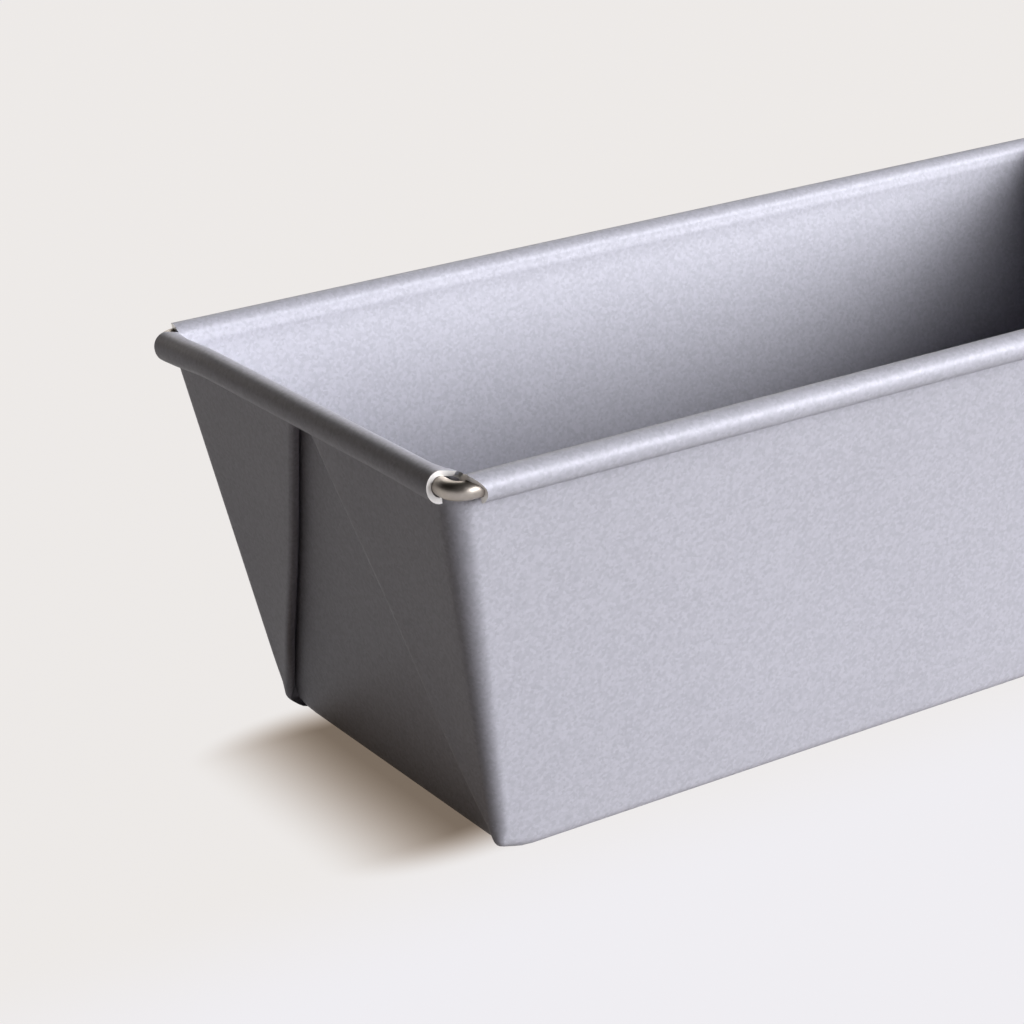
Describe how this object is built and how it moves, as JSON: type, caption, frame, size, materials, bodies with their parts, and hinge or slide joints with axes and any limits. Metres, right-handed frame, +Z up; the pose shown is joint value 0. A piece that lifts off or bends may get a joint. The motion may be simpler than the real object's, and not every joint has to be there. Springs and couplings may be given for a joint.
{
  "type": "mini loaf pan",
  "caption": "Small tapered loaf pan folded from one sheet of coated steel, with gussets laid flat on its end walls and its edge rolled round a steel wire.",
  "frame": {"origin": "middle of the pan's footprint, at the level of the table it stands on", "axes": "+X along the pan's length, +Y across it, +Z up out of its open top"},
  "size_m": [0.1644, 0.0828, 0.057],
  "materials": {
    "coated_steel": "silver-grey non-stick coating with a fine metallic grain",
    "bare_steel": "bare drawn steel"
  },
  "bodies": {
    "root": {"pan_body": "coated_steel", "rim_wire": "bare_steel"}
  },
  "joints": []
}
